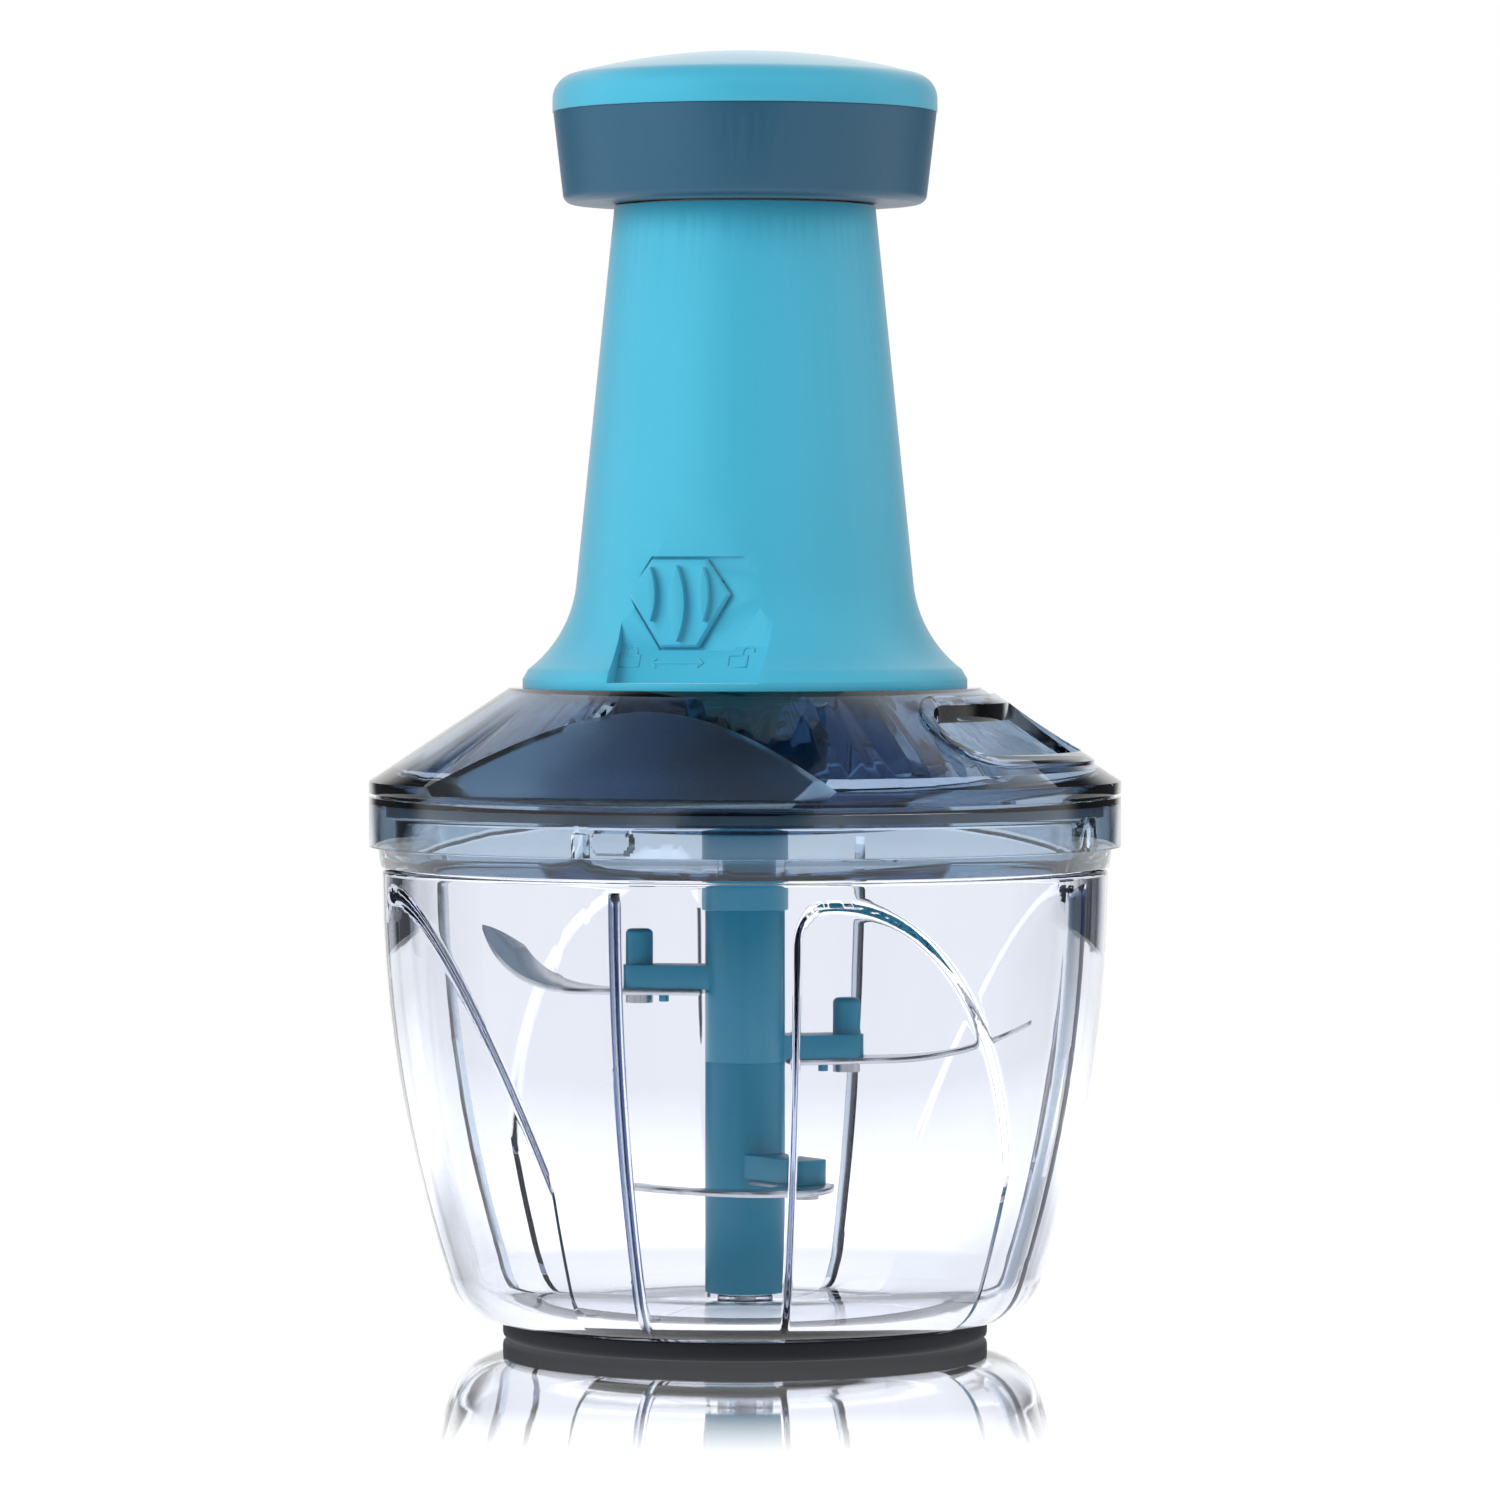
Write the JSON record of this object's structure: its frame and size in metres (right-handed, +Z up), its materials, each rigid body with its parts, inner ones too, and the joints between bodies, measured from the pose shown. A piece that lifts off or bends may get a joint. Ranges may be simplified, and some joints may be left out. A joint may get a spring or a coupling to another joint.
{
  "type": "plunger food chopper",
  "caption": "Hand food chopper: a knob pushed down the handle spins blades in a clear bowl under a smoke lid, with a sideways thumb lock on the handle.",
  "frame": {"origin": "middle of the foot on the surface it stands on, on the axis of bowl and handle", "axes": "+Z up along the handle, -Y towards the front with the thumb lock, +X to the right as seen from the front"},
  "size_m": [0.1356, 0.1356, 0.2317],
  "materials": {
    "clear_plastic": "clear, polished",
    "smoke_plastic": "translucent smoke, polished, frosted on the grip facets",
    "teal_plastic": "satin",
    "blade_hub_plastic": "satin",
    "slate_plastic": "satin",
    "inner_plastic": "moulded",
    "soft_rubber": "matt",
    "steel": "plain",
    "blade_steel": "ground"
  },
  "bodies": {
    "root": {"bowl": "clear_plastic", "base_ring": "soft_rubber", "pivot_pin": "steel"},
    "lid": {"lid_cover": "smoke_plastic", "lid_skirt": "smoke_plastic", "lid_gasket": "soft_rubber", "drive_housing": "smoke_plastic", "thrust_washer": "steel", "spindle_bush": "inner_plastic", "handle_base": "inner_plastic", "handle_shell": "teal_plastic", "base_screws": "steel", "guide_bush": "inner_plastic", "return_spring": "steel", "clutch_spring": "steel", "lock_detent_spring": "steel"},
    "plunger": {"knob_cap": "teal_plastic", "knob_ring": "slate_plastic", "plunger_tube": "inner_plastic", "knob_screws": "steel", "helix_nut": "inner_plastic", "nut_clip": "steel"},
    "spindle": {"drive_spindle": "steel", "ratchet_rotor": "blade_hub_plastic", "spindle_pin": "steel"},
    "drive": {"ratchet_driver": "blade_hub_plastic", "drive_socket": "blade_hub_plastic", "drive_screw": "steel", "blade_hub_upper": "blade_hub_plastic", "blade_hub_lower": "blade_hub_plastic", "blade_upper": "blade_steel", "blade_middle": "blade_steel", "blade_lower": "blade_steel", "blade_screws": "steel"},
    "lock": {"lock_button": "teal_plastic", "lock_bolt": "inner_plastic", "lock_screw": "steel"}
  },
  "joints": [
    {"name": "lid_twist", "type": "hinge", "parent": "root", "child": "lid", "pos_m": [0, 0, 0.09], "axis": [0, 0, -1], "range_deg": [0, 22]},
    {"name": "plunger_travel", "type": "slide", "parent": "lid", "child": "plunger", "axis": [0, 0, 1], "range_m": [0, 0.055], "deforming": ["return_spring"]},
    {"name": "spindle_turn", "type": "hinge", "parent": "lid", "child": "spindle", "pos_m": [0, 0, 0.12], "axis": [0, 0, 1], "range_deg": [-662, 2]},
    {"name": "blade_turn", "type": "hinge", "parent": "lid", "child": "drive", "pos_m": [0, 0, 0.05], "axis": [0, 0, 1], "continuous": true},
    {"name": "lock_slide", "type": "slide", "parent": "lid", "child": "lock", "axis": [1, 0, 0], "range_m": [0, 0.0063]}
  ],
  "couplings": [
    {"joint": "spindle_turn", "follows": "plunger_travel", "rad_per_m": -209.44}
  ]
}
